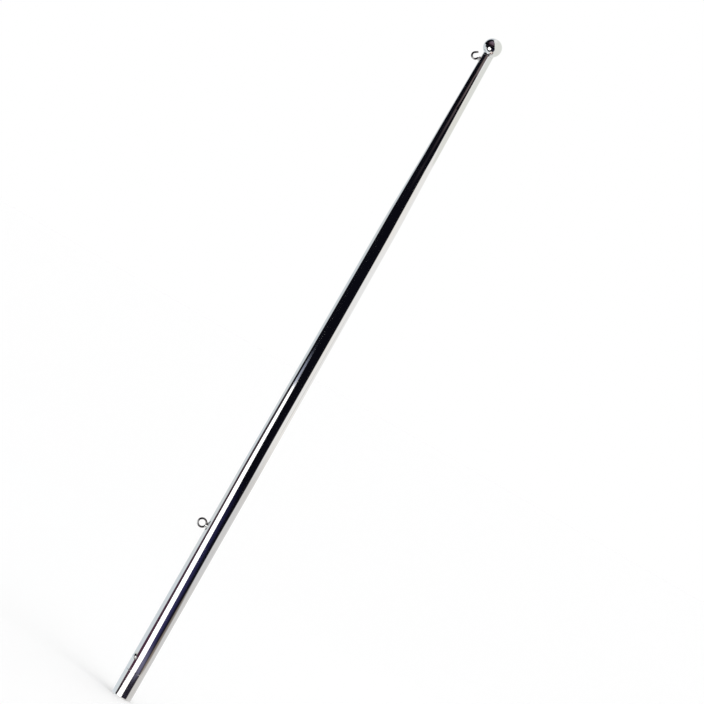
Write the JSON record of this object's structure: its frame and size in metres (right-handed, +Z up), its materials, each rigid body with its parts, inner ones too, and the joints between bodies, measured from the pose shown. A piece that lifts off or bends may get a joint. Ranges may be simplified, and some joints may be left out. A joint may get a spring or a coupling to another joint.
{
  "type": "boat flagstaff",
  "caption": "Tapered polished steel flagstaff with a ball finial, a wire hook and an eye ring for the halyard, a locking stud and a solid heel that stands in a socket.",
  "frame": {"origin": "middle of the heel's flat underside, which stands in the socket", "axes": "+Z up the staff to the ball, hook and ring on the -X side, +Y to the back"},
  "size_m": [0.0478, 0.0318, 1.1303],
  "materials": {
    "mirror_tube": "mirror polished",
    "mirror_ball": "mirror polished",
    "bright_wire": "drawn wire, bright but darker than the tube",
    "turned_steel": "turned and polished"
  },
  "bodies": {
    "root": {"finial_ball": "mirror_ball", "staff_tube": "mirror_tube", "halyard_hook": "bright_wire", "hook_collar": "turned_steel", "halyard_ring": "bright_wire", "ring_collar": "turned_steel", "locking_stud": "turned_steel", "heel_plug": "mirror_tube"}
  },
  "joints": []
}
